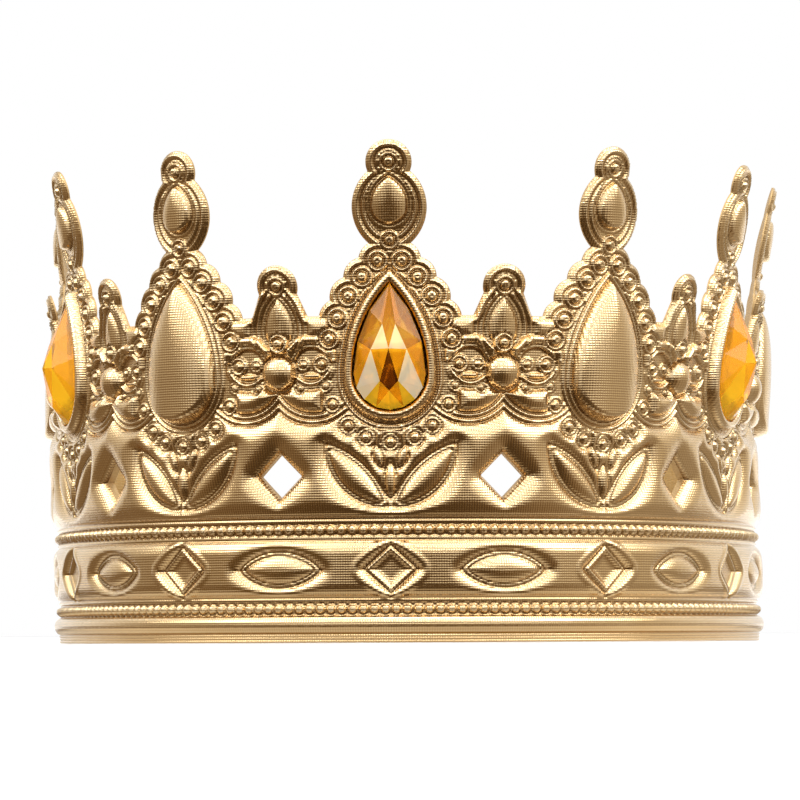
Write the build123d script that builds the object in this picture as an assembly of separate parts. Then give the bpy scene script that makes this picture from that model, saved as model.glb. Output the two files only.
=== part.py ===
from build123d import *
from math import asin, atan2, ceil, cos, pi, radians, sin, sqrt
import os

# A soft dress-up crown: one embossed, die-cut sheet of gold cloth on foam, bent
# into a horseshoe that is open at the back, three pear-cut stones in padded
# seats, and a plain elastic strap that closes the back.
# Millimetres. +Z is up, -Y is the front, and the floor is z = 0.
# "s" is the distance along the sheet from the middle of the front, to the right.

# Plan of the sheet, at its outer face
FRONT_RADIUS = 80.3
SIDE_RADIUS = 128.4
PITCH = 53.0
FRONT_PITCHES = 3
SHEET_HALF_LENGTH = 226.0

# Sheet: foam-backed below, thin in the crest of free points
SHEET_THICK = 3.0
CREST_LEVEL = -1.0
CREST_THICK = 1.2
TAIL_HEIGHT = 52.0
TAIL_CORNER = 8.0
TAIL_SLOPE = 1.0

# How the bent sheet and its relief are facetted
FACETS_PER_PITCH = 4
FACET_RISE = 0.14
DROP_ARC_SIDES = (3, 6, 3)
OUTLINE_TURN = 0.45
SLOPE_SIDES = 8
SINK = 0.4

# How far the die reaches past what it cuts away
DIE_BEHIND = 14.0
DIE_BEFORE = 8.0
DIE_ABOVE = 5.0
DIE_BESIDE = 1.5

# Hem and the two rows of beads
RIM_PROUD = 0.6
RIM_HEIGHT = 1.3
GROOVE_PROUD = 0.2
HEM_LOW = 1.9
HEM_HIGH = 5.9
HEM_ROUND = 1.2
HEM_PROUD = 1.0
LOW_BEADS_Z = 7.7
HIGH_BEADS_Z = 25.8
BAND_LOW = 10.2
BAND_HIGH = 23.4
BAND_PROUD = 0.7
BAND_EDGE = 1.4
ROW_BEAD_PITCH = 2.54
ROW_BEAD_HALF_HIGH = 1.35
ROW_BEAD_PROUD = 1.1
ROW_GROUND = 0.3
ROW_END = 1.5

# Field of leaves and diamond holes
FIELD_LOW = 28.0
FIELD_HIGH = 47.0
FIELD_PROUD = 0.5
CREST_LOW = 50.0
HOLE_Z = 38.3
HOLE_HALF_WIDE = 5.3
HOLE_HALF_HIGH = 5.2
HOLE_RIM = 1.6
HOLE_RIM_PROUD = 0.6
LEAF_TIP = (0.0, 31.0)
LEAF_END = (15.0, 45.5)
LEAF_LOW_BULGE = 4.4
LEAF_HIGH_BULGE = 2.6
LEAF_PROUD = 1.3

# Motifs on the lower band
BAND_MOTIF_Z = 16.8
DIAMOND_HALF_WIDE = 6.1
DIAMOND_HALF_HIGH = 5.4
LENS_HALF_WIDE = 10.5
LENS_HALF_HIGH = 4.2
MOTIF_PROUD = 0.6

# Tall points: tip bead, upper drop, neck bead and a chain of beads
TALL_POINTS = 7
TIP_Z = 110.0
TIP_RADIUS = 5.15
SHOULDER_DROP = 2.06
UPPER_DROP_HALF_WIDE = 5.0
UPPER_DROP_BOTTOM = 95.1
UPPER_DROP_TOP = 107.9
UPPER_DROP_PROUD = 2.4
UPPER_EDGE = 3.6
NECK_HALF_WIDE = 4.9
NECK_Z = 91.6
NECK_BEAD_Z = 92.3
CHAIN = [(2.8, 87.6), (6.4, 83.9), (9.7, 79.5), (12.3, 74.5), (14.3, 69.7)]
CHAIN_BEAD_RADIUS = 2.1
NECK_BEAD_RADIUS = 1.7
CHAIN_PROUD = 1.5
SCALLOP_RADIUS = 4.6
OUTER_BEADS = 4
VALLEY_RISE = 0.6
VALLEY_Z = CHAIN[OUTER_BEADS - 1][1] + VALLEY_RISE

# Large drops: stones at the even points, plain domes at the odd ones
SEAT_HALF_WIDE = 10.6
SEAT_BOTTOM = 50.5
SEAT_TOP = 85.4
SEAT_PROUD = 2.6
DOME_PROUD = 3.6
GEM_HALF_WIDE = 8.25
GEM_BOTTOM = 53.2
GEM_TOP = 82.4
GEM_PROUD = 6.4
GEM_GIRDLE = 1.6
GEM_CROWN_SHARE = 0.55
GEM_CROWN_RISE = 0.62
GEM_APEX_Z = 66.8
GEM_CLEARANCE = 0.1
POCKET_FLOOR = -0.4
POCKET_REACH = 5.0

# Low points: a flower between two tall points
FLOWER_TIP_Z = 82.0
FLOWER_TIP_RADIUS = 4.9
FLOWER_FOOT_HALF_WIDE = 6.9
FLOWER_WAIST_Z = 80.4
FLOWER_BEAD_RADIUS = 1.9
SMALL_DROP_HALF_WIDE = 4.1
SMALL_DROP_BOTTOM = 67.5
SMALL_DROP_TOP = 79.9
SMALL_DROP_PROUD = 1.8
EYE_Z = 62.1
EYE_RADIUS = 4.1
EYE_PROUD = 2.9
SIDE_PETAL = (7.9, 63.8)
SIDE_PETAL_RADIUS = 4.5
SIDE_PETAL_PROUD = 1.0
LOW_PETAL = (6.1, 55.4)
LOW_PETAL_HALF_WIDE = 4.6
LOW_PETAL_HALF_HIGH = 2.7
LOW_PETAL_PROUD = 1.8

# Rings of each form: how far out from its centre, and how much of its height
BEAD_RINGS = []
UPPER_DROP_RINGS = [(0.72, 0.75)]
SEAT_RINGS = [(0.93, 0.7), (0.84, 1)]
DOME_RINGS = [(0.86, 0.55), (0.5, 0.9)]
LEAF_RINGS = [(0.6, 0.8)]
DIAMOND_RINGS = [(0.68, 0.8)]
LENS_RINGS = [(0.72, 0.6)]
HOLE_RIM_RINGS = [(0.86, 1)]
SMALL_DROP_RINGS = [(0.7, 0.75)]
EYE_RINGS = [(0.88, 0.6), (0.5, 0.93)]
SIDE_PETAL_RINGS = [(0.8, 0.8)]
LOW_PETAL_RINGS = [(0.6, 0.85)]

# Strap
STRAP_WIDTH = 25.0
STRAP_THICK = 1.2
STRAP_LOW = 13.0
STRAP_GAP = 0.25
STRAP_LAP = 16.0
STRAP_BEND_RADIUS = 22.0
STRAP_BACK_TURN = 20.0


def plan(s):
    """Point of the sheet's outer face at s, and the turn from the front in radians."""
    front_half = FRONT_PITCHES * PITCH / 2
    side = -1 if s < 0 else 1
    run = abs(s)
    change = front_half / FRONT_RADIUS
    if run <= front_half:
        turn = run / FRONT_RADIUS
        x = FRONT_RADIUS * sin(turn)
        y = -FRONT_RADIUS * cos(turn)
    else:
        turn = change + (run - front_half) / SIDE_RADIUS
        x = side_centre()[0] + SIDE_RADIUS * sin(turn)
        y = side_centre()[1] - SIDE_RADIUS * cos(turn)
    return side * x, y, side * turn


def side_centre():
    """Centre of the right side's arc, which meets the front arc without a kink."""
    change = FRONT_PITCHES * PITCH / 2 / FRONT_RADIUS
    short = FRONT_RADIUS - SIDE_RADIUS
    return short * sin(change), -short * cos(change)


def frame_at(s, proud=0.0):
    """Plane on the sheet at s: its x runs along the sheet, its y up, its z outwards."""
    x, y, turn = plan(s)
    out = Vector(sin(turn), -cos(turn), 0)
    along = Vector(cos(turn), sin(turn), 0)
    return Plane(origin=Vector(x, y, 0) + out * proud, x_dir=along, z_dir=out)


def across(s, middle):
    """Distance from the middle, seen square on to the sheet at the middle."""
    x, y, _ = plan(s)
    x0, y0, turn = plan(middle)
    return (x - x0) * cos(turn) + (y - y0) * sin(turn)


def arc_corners(three, sides=None):
    """Corners along an arc through three points, in equal steps, without its start."""
    arc = ThreePointArc(*three)
    sides = sides or max(2, ceil(arc.length / arc.radius / OUTLINE_TURN))
    spots = [arc.position_at(i / sides) for i in range(1, sides + 1)]
    return [(spot.X, spot.Y) for spot in spots]


def drop_corners(half_wide, bottom, top):
    """Corners of a facetted teardrop: a round bottom, and two arcs that run up to a point."""
    centre = bottom + half_wide
    rise = top - centre
    radius = (half_wide**2 + rise**2) / (2 * half_wide)
    turn = asin(rise / radius) / 2
    mid = (half_wide - radius + radius * cos(turn), centre + radius * sin(turn))
    arcs = [
        ((0, top), mid, (half_wide, centre)),
        ((half_wide, centre), (0, bottom), (-half_wide, centre)),
        ((-half_wide, centre), (-mid[0], mid[1]), (0, top)),
    ]
    return [corner for arc, sides in zip(arcs, DROP_ARC_SIDES) for corner in arc_corners(arc, sides)]


def crossing(one, two, radius):
    """The outer crossing of two equal circles, right of the line that climbs from two to one."""
    mid_u, mid_z = (one[0] + two[0]) / 2, (one[1] + two[1]) / 2
    du, dz = one[0] - two[0], one[1] - two[1]
    span = sqrt(du**2 + dz**2)
    reach = sqrt(radius**2 - (span / 2) ** 2)
    return mid_u + reach * dz / span, mid_z - reach * du / span


def circle_mid(centre, start, end, radius):
    """The point of a circle half-way between two others on it, on the short side."""
    mid_u = (start[0] + end[0]) / 2 - centre[0]
    mid_z = (start[1] + end[1]) / 2 - centre[1]
    span = sqrt(mid_u**2 + mid_z**2)
    return centre[0] + mid_u * radius / span, centre[1] + mid_z * radius / span


def tall_side():
    """Corners of a tall point's right edge, from its top down to the valley."""
    shoulder = (sqrt(TIP_RADIUS**2 - SHOULDER_DROP**2), TIP_Z - SHOULDER_DROP)
    top = (0, TIP_Z + TIP_RADIUS)
    neck = (NECK_HALF_WIDE, NECK_Z)
    belly = (UPPER_DROP_HALF_WIDE + UPPER_EDGE, UPPER_DROP_BOTTOM + UPPER_DROP_HALF_WIDE)
    arcs = [(top, (TIP_RADIUS, TIP_Z), shoulder), (shoulder, belly, neck)]
    outer = CHAIN[:OUTER_BEADS]
    valley = (outer[-1][0] + sqrt(SCALLOP_RADIUS**2 - VALLEY_RISE**2), VALLEY_Z)
    ends = [crossing(one, two, SCALLOP_RADIUS) for one, two in zip(outer, outer[1:])] + [valley]
    for centre, start, end in zip(outer, [neck] + ends, ends):
        arcs.append((start, circle_mid(centre, start, end, SCALLOP_RADIUS), end))
    return [top] + [corner for arc in arcs for corner in arc_corners(arc)]


def low_side():
    """Corners of a low point's right edge, from its top down to the valley."""
    waist = (sqrt(FLOWER_TIP_RADIUS**2 - (FLOWER_TIP_Z - FLOWER_WAIST_Z) ** 2), FLOWER_WAIST_Z)
    top = (0, FLOWER_TIP_Z + FLOWER_TIP_RADIUS)
    arc = (top, (FLOWER_TIP_RADIUS, FLOWER_TIP_Z), waist)
    return [top] + arc_corners(arc) + [(FLOWER_FOOT_HALF_WIDE, VALLEY_Z)]


def flat_face(corners, middle):
    """Face of corners (s, z), seen square on to the sheet at its middle."""
    return make_face(Polyline([(across(s, middle), z) for s, z in corners], close=True))


def point_face(right, middle):
    """A free point above the valley, the same on both sides of its middle."""
    left = [(-u, z) for u, z in right[1:]]
    return flat_face([(middle + u, z) for u, z in right + left[::-1]], middle)


def section():
    """Section of the sheet as (proud, z): rim, hem roll, two bead grounds, band, field, crest."""
    top = blank_height()
    back = CREST_LEVEL - CREST_THICK
    return [
        (RIM_PROUD, 0),
        (RIM_PROUD, RIM_HEIGHT),
        (GROOVE_PROUD, HEM_LOW),
        (HEM_PROUD, HEM_LOW + HEM_ROUND),
        (HEM_PROUD, HEM_HIGH - HEM_ROUND),
        (0, HEM_HIGH),
        (0, BAND_LOW),
        (BAND_PROUD, BAND_LOW + BAND_EDGE),
        (BAND_PROUD, BAND_HIGH - BAND_EDGE),
        (0, BAND_HIGH),
        (0, FIELD_LOW),
        (FIELD_PROUD, FIELD_LOW + BAND_EDGE),
        (FIELD_PROUD, FIELD_HIGH),
        (CREST_LEVEL, CREST_LOW),
        (CREST_LEVEL, top),
        (back, top),
        (back, CREST_LOW),
        (-SHEET_THICK, FIELD_HIGH),
        (-SHEET_THICK, 0),
    ]


def blank_height():
    return TIP_Z + TIP_RADIUS + 1.0


def offset_point(s, proud):
    x, y, turn = plan(s)
    return x + proud * sin(turn), y - proud * cos(turn)


def flat_solid(faces):
    """Closed solid of flat faces, each a list of corners."""
    return Solid(Shell([make_face(Polyline(*corners, close=True)).face() for corners in faces]))


def stops():
    """Where the flat facets of the bent sheet meet; the middle of each motif is a facet's middle."""
    step = PITCH / FACETS_PER_PITCH
    change = FRONT_PITCHES * PITCH / 2
    count = int(SHEET_HALF_LENGTH / step + 0.5)
    inner = [(i + 0.5) * step for i in range(-count, count)] + [-change, change]
    return sorted(inner + [-SHEET_HALF_LENGTH, SHEET_HALF_LENGTH])


def blank():
    """The bent sheet before it is cut out, as flat facets from one stop to the next."""
    rings = [
        [(*offset_point(s, proud + FACET_RISE), z) for proud, z in section()]
        for s in stops()
    ]
    faces = [rings[0], rings[-1]]
    for one, two in zip(rings, rings[1:]):
        for i in range(len(one)):
            faces.append([one[i - 1], one[i], two[i], two[i - 1]])
    return flat_solid(faces)


def waste(middle, face):
    """What a die cuts away, square on to the sheet at its middle."""
    plane = frame_at(middle, -DIE_BEHIND)
    return extrude(plane * face, DIE_BEHIND + DIE_BEFORE, dir=plane.z_dir)


def beside_point(right, wide, middle):
    """What is cut away round a free point, so far to each side of its middle."""
    top = blank_height() + DIE_ABOVE
    left, right_end = middle - wide, middle + wide
    over = [(left, VALLEY_Z), (right_end, VALLEY_Z), (right_end, top), (left, top)]
    return waste(middle, flat_face(over, middle) - point_face(right, middle))


def tall_waste(middle):
    side = tall_side()
    return beside_point(side, side[-1][0] + DIE_BESIDE, middle)


def low_waste(middle):
    return beside_point(low_side(), PITCH / 2 - tall_side()[-1][0] + DIE_BESIDE / 3, middle)


def tail_waste(side):
    """Above the plain tail: a shoulder runs down from the last tall point to a round corner."""
    last = (TALL_POINTS - 1) / 2 * PITCH
    start = last + tall_side()[-1][0]
    drop = VALLEY_Z - TAIL_HEIGHT
    end = SHEET_HALF_LENGTH
    low = TAIL_HEIGHT - TAIL_CORNER
    bow = TAIL_CORNER * (1 - sin(pi / 4))
    top = blank_height() + DIE_ABOVE
    out = end + DIE_ABOVE
    corners = [(start - DIE_BESIDE / 3, VALLEY_Z)]
    for i in range(SLOPE_SIDES + 1):
        share = i / SLOPE_SIDES
        fall = (1 - cos(pi * share)) / 2
        corners.append((start + TAIL_SLOPE * drop * share, VALLEY_Z - drop * fall))
    turn = (end - TAIL_CORNER, TAIL_HEIGHT)
    corners += [turn] + arc_corners((turn, (end - bow, TAIL_HEIGHT - bow), (end, low)))
    corners += [(out, low), (out, top), (corners[0][0], top)]
    middle = side * (start + end) / 2
    return waste(middle, flat_face([(side * s, z) for s, z in corners], middle))


def hole_waste(middle):
    rim = diamond_corners(HOLE_HALF_WIDE, HOLE_HALF_HIGH, HOLE_Z)
    return waste(middle, make_face(Polyline(*rim, close=True)))


def facetted(rings, top):
    """Closed solid of flat faces: rings of corners one above another, then a point or a flat."""
    faces = [rings[0]]
    for one, two in zip(rings, rings[1:]):
        for i in range(len(one)):
            faces.append([one[i - 1], one[i], two[i], two[i - 1]])
    last = rings[-1]
    if top is None:
        faces.append(last)
    else:
        faces += [[last[i - 1], last[i], top] for i in range(len(last))]
    return flat_solid(faces)


def relief(s, corners, proud, ground, shares=()):
    """A form that stands out of the sheet at s, with flat facets that close in on its centre."""
    us, zs = [u for u, _ in corners], [z for _, z in corners]
    cu, cz = (min(us) + max(us)) / 2, (min(zs) + max(zs)) / 2
    sag = max(abs(u) for u in us) ** 2 / (2 * FRONT_RADIUS)
    levels = [(1.0, ground - sag - SINK)]
    levels += [(out, ground + (proud - ground) * share) for out, share in shares]
    rings = [
        [(cu + (u - cu) * out, cz + (z - cz) * out, level) for u, z in corners]
        for out, level in levels
    ]
    flat = bool(shares) and shares[-1][1] == 1
    return frame_at(s).location * facetted(rings, None if flat else (cu, cz, proud))


def round_corners(radius, z, sides):
    turns = [2 * pi * (i + 0.5) / sides for i in range(sides)]
    return [(radius * sin(t), z + radius * cos(t)) for t in turns]


def bead(s, z, radius, proud, ground, sides=5):
    return relief(s, round_corners(radius, z, sides), proud, ground, BEAD_RINGS)


def oval_corners(half_wide, half_high, z, sides=4):
    """Corners of a pointed oval: two arcs in equal steps."""
    radius = (half_wide**2 + half_high**2) / (2 * half_high)
    turn = asin(half_wide / radius)
    steps = [-turn + 2 * turn * i / sides for i in range(sides)]
    upper = [(radius * sin(t), z + half_high - radius * (1 - cos(t))) for t in steps]
    return upper + [(-u, 2 * z - high) for u, high in upper]


def diamond_corners(half_wide, half_high, z):
    return [(-half_wide, z), (0, z + half_high), (half_wide, z), (0, z - half_high)]


def leaf_corners(side, sides=4):
    """Corners of one leaf of a pair, about its own middle."""
    (u0, z0), (u1, z1) = LEAF_TIP, LEAF_END
    long = sqrt((u1 - u0) ** 2 + (z1 - z0) ** 2) / 2
    turn = atan2(z1 - z0, u1 - u0)
    lower = oval_corners(long, LEAF_LOW_BULGE, 0, sides)[sides:]
    upper = oval_corners(long, LEAF_HIGH_BULGE, 0, sides)[:sides]
    middle = (z0 + z1) / 2
    return [
        (side * (a * cos(turn) - b * sin(turn)), middle + a * sin(turn) + b * cos(turn))
        for a, b in upper + lower
    ]


def tall_point(k):
    """Relief of one tall point: drops, beads, leaves and the diamond on the band below."""
    m = k * PITCH
    low_drop = drop_corners(SEAT_HALF_WIDE, SEAT_BOTTOM, SEAT_TOP)
    high_drop = drop_corners(UPPER_DROP_HALF_WIDE, UPPER_DROP_BOTTOM, UPPER_DROP_TOP)
    bead_proud = CREST_LEVEL + CHAIN_PROUD
    forms = [
        bead(m, TIP_Z, CHAIN_BEAD_RADIUS, bead_proud, CREST_LEVEL),
        bead(m, NECK_BEAD_Z, NECK_BEAD_RADIUS, bead_proud, CREST_LEVEL),
        relief(m, high_drop, CREST_LEVEL + UPPER_DROP_PROUD, CREST_LEVEL, UPPER_DROP_RINGS),
    ]
    for u, z in CHAIN:
        for side in (1, -1):
            forms.append(bead(m + side * u, z, CHAIN_BEAD_RADIUS, bead_proud, CREST_LEVEL))
    for side in (1, -1):
        middle = side * (LEAF_TIP[0] + LEAF_END[0]) / 2
        forms.append(relief(m + middle, leaf_corners(side), LEAF_PROUD, FIELD_PROUD, LEAF_RINGS))
    if has_gem(k):
        forms.append(relief(m, low_drop, SEAT_PROUD, CREST_LEVEL, SEAT_RINGS))
    else:
        forms.append(relief(m, low_drop, DOME_PROUD, CREST_LEVEL, DOME_RINGS))
    motif = diamond_corners(DIAMOND_HALF_WIDE, DIAMOND_HALF_HIGH, BAND_MOTIF_Z)
    forms.append(relief(m, motif, BAND_PROUD + MOTIF_PROUD, BAND_PROUD, DIAMOND_RINGS))
    return forms


def low_point(m):
    """Relief of one low point: a flower under a small drop."""
    tip_proud = CREST_LEVEL + CHAIN_PROUD
    small_drop = drop_corners(SMALL_DROP_HALF_WIDE, SMALL_DROP_BOTTOM, SMALL_DROP_TOP)
    eye = round_corners(EYE_RADIUS, EYE_Z, 8)
    forms = [
        bead(m, FLOWER_TIP_Z, FLOWER_BEAD_RADIUS, tip_proud, CREST_LEVEL),
        relief(m, small_drop, CREST_LEVEL + SMALL_DROP_PROUD, CREST_LEVEL, SMALL_DROP_RINGS),
        relief(m, eye, CREST_LEVEL + EYE_PROUD, CREST_LEVEL, EYE_RINGS),
    ]
    for side in (1, -1):
        u, z = SIDE_PETAL
        ring = round_corners(SIDE_PETAL_RADIUS, z, 8)
        proud = CREST_LEVEL + SIDE_PETAL_PROUD
        forms.append(relief(m + side * u, ring, proud, CREST_LEVEL, SIDE_PETAL_RINGS))
        u, z = LOW_PETAL
        petal = oval_corners(LOW_PETAL_HALF_WIDE, LOW_PETAL_HALF_HIGH, z)
        proud = CREST_LEVEL + LOW_PETAL_PROUD
        forms.append(relief(m + side * u, petal, proud, CREST_LEVEL, LOW_PETAL_RINGS))
    return forms


def between(m):
    """Below a low point: a rim round the diamond hole, and a pointed oval on the band."""
    rim = diamond_corners(HOLE_HALF_WIDE + HOLE_RIM, HOLE_HALF_HIGH + HOLE_RIM, HOLE_Z)
    oval = oval_corners(LENS_HALF_WIDE, LENS_HALF_HIGH, BAND_MOTIF_Z)
    return [
        relief(m, rim, FIELD_PROUD + HOLE_RIM_PROUD, FIELD_PROUD, HOLE_RIM_RINGS),
        relief(m, oval, BAND_PROUD + 2 * MOTIF_PROUD, BAND_PROUD, LENS_RINGS),
    ]


def row_of_beads(z):
    """A row of touching four-sided beads from end to end of the sheet, as one solid."""
    count = round(2 * (SHEET_HALF_LENGTH - ROW_END) / ROW_BEAD_PITCH)
    half = count * ROW_BEAD_PITCH / 2
    joints = [-half + i * ROW_BEAD_PITCH for i in range(count + 1)]
    low, high = z - ROW_BEAD_HALF_HIGH, z + ROW_BEAD_HALF_HIGH

    def corner(s, proud, level):
        return (*offset_point(s, proud), level)

    outer = [[corner(s, ROW_GROUND, level) for s in joints] for level in (low, high)]
    inner = [[corner(s, -SINK, level) for s in joints] for level in (low, high)]
    faces = [[*outer[i], *reversed(inner[i])] for i in (0, 1)]
    for end in (0, -1):
        faces.append([outer[0][end], outer[1][end], inner[1][end], inner[0][end]])
    for i in range(count):
        faces.append([inner[0][i], inner[0][i + 1], inner[1][i + 1], inner[1][i]])
        top = corner((joints[i] + joints[i + 1]) / 2, ROW_BEAD_PROUD, z)
        rim = [outer[0][i], outer[0][i + 1], outer[1][i + 1], outer[1][i]]
        faces += [[a, b, top] for a, b in zip(rim, rim[1:] + rim[:1])]
    return flat_solid(faces)


def has_gem(k):
    return k % 2 == 0 and abs(k) < (TALL_POINTS - 1) / 2


def tall_indexes():
    last = (TALL_POINTS - 1) // 2
    return range(-last, last + 1)


def low_middles():
    return [(k + 0.5) * PITCH for k in tall_indexes() if k < max(tall_indexes())]


def hole_middles():
    """One hole under each low point, and one more beyond each outer tall point."""
    last = max(tall_indexes()) + 0.5
    return [-last * PITCH] + low_middles() + [last * PITCH]


def pocket(k):
    """The seat that a stone lies in: its outline with clearance, down to a flat floor."""
    plane = frame_at(k * PITCH, POCKET_FLOOR)
    room = GEM_CLEARANCE
    corners = drop_corners(GEM_HALF_WIDE + room, GEM_BOTTOM - room, GEM_TOP + 1.5 * room)
    face = make_face(Polyline(*corners, close=True))
    return extrude(plane * face, SEAT_PROUD + POCKET_REACH, dir=plane.z_dir)


def crown_shell():
    cuts = [tall_waste(k * PITCH) for k in tall_indexes()]
    cuts += [low_waste(m) for m in low_middles()]
    cuts += [tail_waste(1), tail_waste(-1)]
    forms = []
    for k in tall_indexes():
        forms += tall_point(k)
    for m in low_middles():
        forms += low_point(m)
    for m in hole_middles():
        forms += between(m)
    for z in (LOW_BEADS_Z, HIGH_BEADS_Z):
        forms.append(row_of_beads(z))
    shell = (blank() - cuts) + forms
    shell = shell - [hole_waste(m) for m in hole_middles()]
    return shell - [pocket(k) for k in tall_indexes() if has_gem(k)]


def gem(k):
    """A pear-cut stone: flat back, upright girdle and two tiers of facets up to a point."""
    ring = drop_corners(GEM_HALF_WIDE, GEM_BOTTOM, GEM_TOP)
    girdle = POCKET_FLOOR + GEM_GIRDLE
    shoulder = girdle + (GEM_PROUD - girdle) * GEM_CROWN_RISE

    def tier(share, level):
        return [(u * share, GEM_APEX_Z + (z - GEM_APEX_Z) * share, level) for u, z in ring]

    rings = [tier(1, POCKET_FLOOR), tier(1, girdle), tier(GEM_CROWN_SHARE, shoulder)]
    return frame_at(k * PITCH).location * facetted(rings, (0, GEM_APEX_Z, GEM_PROUD))


def walk(start, heading, bends):
    """Arcs one after another, each tangent to the last: radius and turn in radians."""
    edges, point = [], start
    for radius, turn in bends:
        spots = [
            (
                point[0] + radius * (sin(heading + turn * share) - sin(heading)),
                point[1] - radius * (cos(heading + turn * share) - cos(heading)),
            )
            for share in (0, 0.5, 1)
        ]
        edges.append(ThreePointArc(*spots))
        point, heading = spots[-1], heading + turn
    return edges, point


def strap_edge(inset):
    """One face of the strap in plan: a lap inside each sheet end, two bends and a flat bow."""
    change = FRONT_PITCHES * PITCH / 2 / FRONT_RADIUS
    x, y = side_centre()
    end_turn = change + (SHEET_HALF_LENGTH - FRONT_PITCHES * PITCH / 2) / SIDE_RADIUS
    lap_turn = STRAP_LAP / SIDE_RADIUS
    start_turn = end_turn - lap_turn
    radius = SIDE_RADIUS - inset
    start = (x + radius * sin(start_turn), y - radius * cos(start_turn))
    bend = pi - radians(STRAP_BACK_TURN) - end_turn
    first = [(radius, lap_turn), (STRAP_BEND_RADIUS - inset, bend)]
    _, corner = walk(start, start_turn, first)
    back_radius = corner[0] / sin(radians(STRAP_BACK_TURN))
    bends = first + [(back_radius, 2 * radians(STRAP_BACK_TURN))] + first[::-1]
    edges, end = walk(start, start_turn, bends)
    return edges, start, end


def back_strap():
    inset = SHEET_THICK + STRAP_GAP
    outer, outer_start, outer_end = strap_edge(inset)
    inner, inner_start, inner_end = strap_edge(inset + STRAP_THICK)
    ends = [Line(outer_start, inner_start), Line(outer_end, inner_end)]
    return extrude(Pos(0, 0, STRAP_LOW) * make_face(outer + inner + ends), STRAP_WIDTH)


def main():
    os.makedirs("parts", exist_ok=True)
    names = {-2: "gem_left", 0: "gem_front", 2: "gem_right"}
    parts = {"crown_shell": crown_shell(), "back_strap": back_strap()}
    for k, name in names.items():
        parts[name] = gem(k)
    for name, part in parts.items():
        export_step(part, f"parts/{name}.step")


main()
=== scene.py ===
import math
import bmesh
import bpy
import numpy as np
from mathutils import Matrix, Vector
from mathutils.geometry import delaunay_2d_cdt


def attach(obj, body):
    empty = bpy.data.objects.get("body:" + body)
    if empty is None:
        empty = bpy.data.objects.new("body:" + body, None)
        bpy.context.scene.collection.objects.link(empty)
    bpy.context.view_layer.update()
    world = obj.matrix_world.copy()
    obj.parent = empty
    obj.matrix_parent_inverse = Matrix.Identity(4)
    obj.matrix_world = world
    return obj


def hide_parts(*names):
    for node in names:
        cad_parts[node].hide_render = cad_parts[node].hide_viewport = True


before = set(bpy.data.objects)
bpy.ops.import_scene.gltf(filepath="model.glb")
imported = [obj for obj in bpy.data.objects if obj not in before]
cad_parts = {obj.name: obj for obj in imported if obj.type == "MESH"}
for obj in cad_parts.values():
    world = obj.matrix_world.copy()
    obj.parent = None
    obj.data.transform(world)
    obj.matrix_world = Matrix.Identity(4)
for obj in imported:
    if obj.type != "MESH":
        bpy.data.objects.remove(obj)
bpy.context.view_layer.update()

# Sizes below are in millimetres, as in the part. "s" runs along the sheet from the
# middle of the front to the right, z is up, and a height stands out from the sheet.
MM = 0.001
FRONT_RADIUS = 80.3
SIDE_RADIUS = 128.4
PITCH = 53.0
FRONT_HALF = 1.5 * PITCH
HALF_LENGTH = 226.0
SHEET_BACK = -3.0
CREST_BACK = -1.75
TAIL_HEIGHT = 52.0
TAIL_CORNER = 8.0
VALLEY_Z = 75.1
TOP_Z = 115.15
SHOULDER = 3 * PITCH + 16.8

# Spacing of the mesh: along the front and the back, and up the sheet from level to level
FRONT_STEP, BACK_STEP = 0.30, 0.45
LEVELS = [(0.0, 2.4, 0.17), (2.4, 50.0, 0.36), (50.0, 115.45, 0.28)]

# Height of the crest's ground, and the middles of the beads (across, up) round a large drop
CREST = -1.0
CHAIN = [(2.8, 87.6), (6.4, 83.9), (9.7, 79.5), (12.3, 74.5), (14.3, 69.7)]
UNDER_CHAIN = [(9.7, 49.6), (5.6, 46.9), (0.0, 45.8)]
SCALLOP = 4.6
TIP_Z = 110.0
TIP_RADIUS = 5.15
BORDER_RADIUS, BORDER_SHIFT, BORDER_Z = 10.7, 2.1, 99.8

# A low point's tip, and the half widths of its straight sides at their two ends
LOW_TIP_Z, LOW_TIP_RADIUS = 82.0, 4.9
LOW_SIDES_Z, LOW_UPPER_HALF, LOW_LOWER_HALF = 80.4, 4.6, 6.9

# A diamond as half width, half height and middle; a drop as half width, bottom and top
HOLE = (5.3, 5.2, 38.3)
BAND_DIAMOND = (6.1, 5.5, 16.8)
BAND_DIAMOND_CORE = (4.4, 4.0, 16.8)
SEAT = (10.6, 50.5, 85.4)
SEAT_DOME = (10.0, 51.1, 84.5)
GEM = (8.25, 53.2, 82.4)
UPPER_DROP = (5.0, 95.1, 107.9)
UPPER_DOME = (4.4, 95.8, 106.9)
LOW_DROP = (4.1, 67.5, 79.9)

# Edges of the hem roll, the band and the field, and the two rows of beads
HEM_LOW, HEM_HIGH = 2.0, 6.2
BAND_LOW, BAND_HIGH = 10.3, 23.5
FIELD_LOW = 28.3
ROWS_Z = (7.75, 25.85)
ROW_STEP, ROW_BEAD = 2.54, 1.14

# The flower: scallop arc and ringed petal as middle (across, up), and its eye
ARC_U, ARC_Z = 8.4, 62.2
RING_U, RING_Z = 7.9, 63.8
EYE_Z, EYE_RADIUS = 62.1, 4.15


# The plan of the sheet: an arc across the front, and a flatter one down each side

SIDE_START = FRONT_HALF / FRONT_RADIUS
SIDE_CENTRE_X = (FRONT_RADIUS - SIDE_RADIUS) * math.sin(SIDE_START)
SIDE_CENTRE_Y = (SIDE_RADIUS - FRONT_RADIUS) * math.cos(SIDE_START)


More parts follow.
